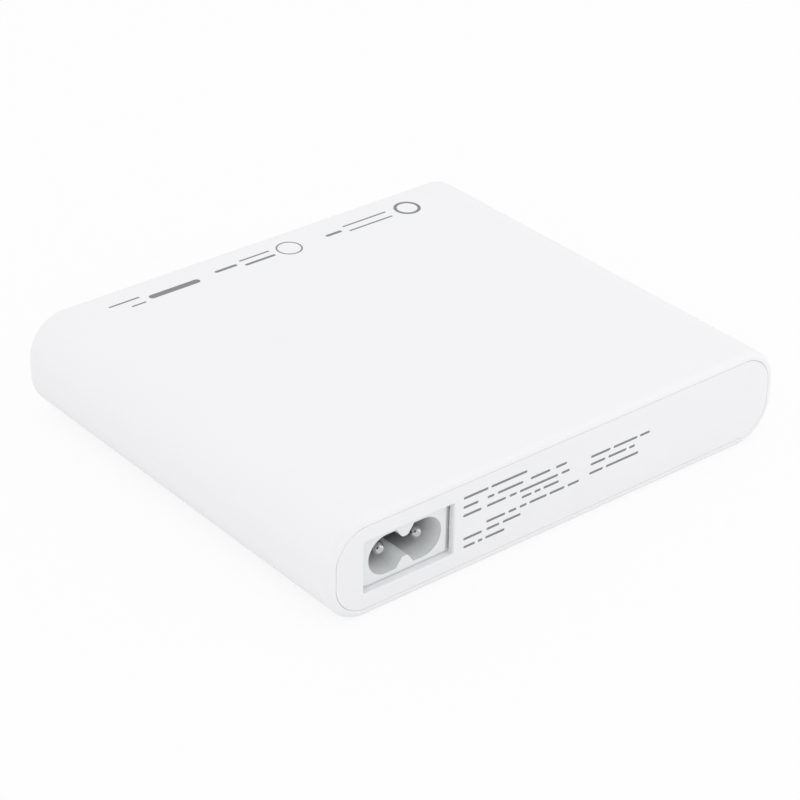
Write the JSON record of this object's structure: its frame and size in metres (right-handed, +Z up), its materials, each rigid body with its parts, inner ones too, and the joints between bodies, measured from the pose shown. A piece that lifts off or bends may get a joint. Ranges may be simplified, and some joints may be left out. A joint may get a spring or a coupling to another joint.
{
  "type": "desktop multi-port fast charger",
  "caption": "Flat white desktop charger: a rounded sleeve closed by inset end panels, with a recessed figure-8 mains inlet at the rear and output ports at the front.",
  "frame": {"origin": "centre of the underside", "axes": "+Y out of the rear panel with the mains inlet, +X to the side that the inlet is on, +Z up"},
  "size_m": [0.11, 0.0956, 0.0205],
  "materials": {
    "casing_white": "fine satin moulding",
    "panel_white": "fine satin moulding",
    "inlet_white": "satin moulding",
    "plated_pin": "bright nickel plate",
    "board_green": "solder mask",
    "port_steel": "plated sheet",
    "port_moulding": "satin moulding",
    "contact_gold": "gold flash",
    "chip_black": "moulded epoxy",
    "dipped_blue": "dipped epoxy",
    "box_yellow": "moulded box",
    "ferrite": "sintered ferrite",
    "copper": "enamelled copper wire",
    "winding_tape": "polyester tape over copper wire",
    "capacitor_can": "drawn can",
    "capacitor_wrap": "shrunk wrap over a drawn can",
    "heat_spreader": "rolled sheet",
    "thermal_pad": "filled silicone",
    "film_amber": "polyester film"
  },
  "bodies": {
    "root": {"outer_sleeve": "casing_white", "rear_panel": "panel_white", "front_panel": "panel_white", "ac_inlet_body": "inlet_white", "inlet_pin_line": "plated_pin", "inlet_pin_neutral": "plated_pin", "main_board": "board_green", "port_board": "board_green", "usb_a_1_shell": "port_steel", "usb_a_2_shell": "port_steel", "usb_c_1_shell": "port_steel", "usb_c_2_shell": "port_steel", "usb_a_1_insulator": "port_moulding", "usb_a_2_insulator": "port_moulding", "usb_c_1_insulator": "port_moulding", "usb_c_2_insulator": "port_moulding", "usb_a_1_contacts": "contact_gold", "usb_a_2_contacts": "contact_gold", "usb_c_1_contacts": "contact_gold", "usb_c_2_contacts": "contact_gold", "fuse": "chip_black", "bridge_rectifier": "chip_black", "gan_switches": "chip_black", "optocoupler": "chip_black", "control_chips": "chip_black", "output_rectifiers": "chip_black", "varistor": "dipped_blue", "y_capacitor": "dipped_blue", "x_capacitor": "box_yellow", "line_choke_core": "ferrite", "pfc_choke_core": "ferrite", "transformer_core": "ferrite", "output_inductors": "ferrite", "line_choke_windings": "copper", "pfc_choke_winding": "winding_tape", "transformer_winding": "winding_tape", "output_capacitors": "capacitor_can", "bulk_capacitor_1": "capacitor_wrap", "bulk_capacitor_2": "capacitor_wrap", "bulk_capacitor_3": "capacitor_wrap", "upper_heat_spreader": "heat_spreader", "lower_heat_spreader": "heat_spreader", "upper_thermal_pads": "thermal_pad", "lower_thermal_pad": "thermal_pad", "insulating_film": "film_amber"}
  },
  "joints": []
}
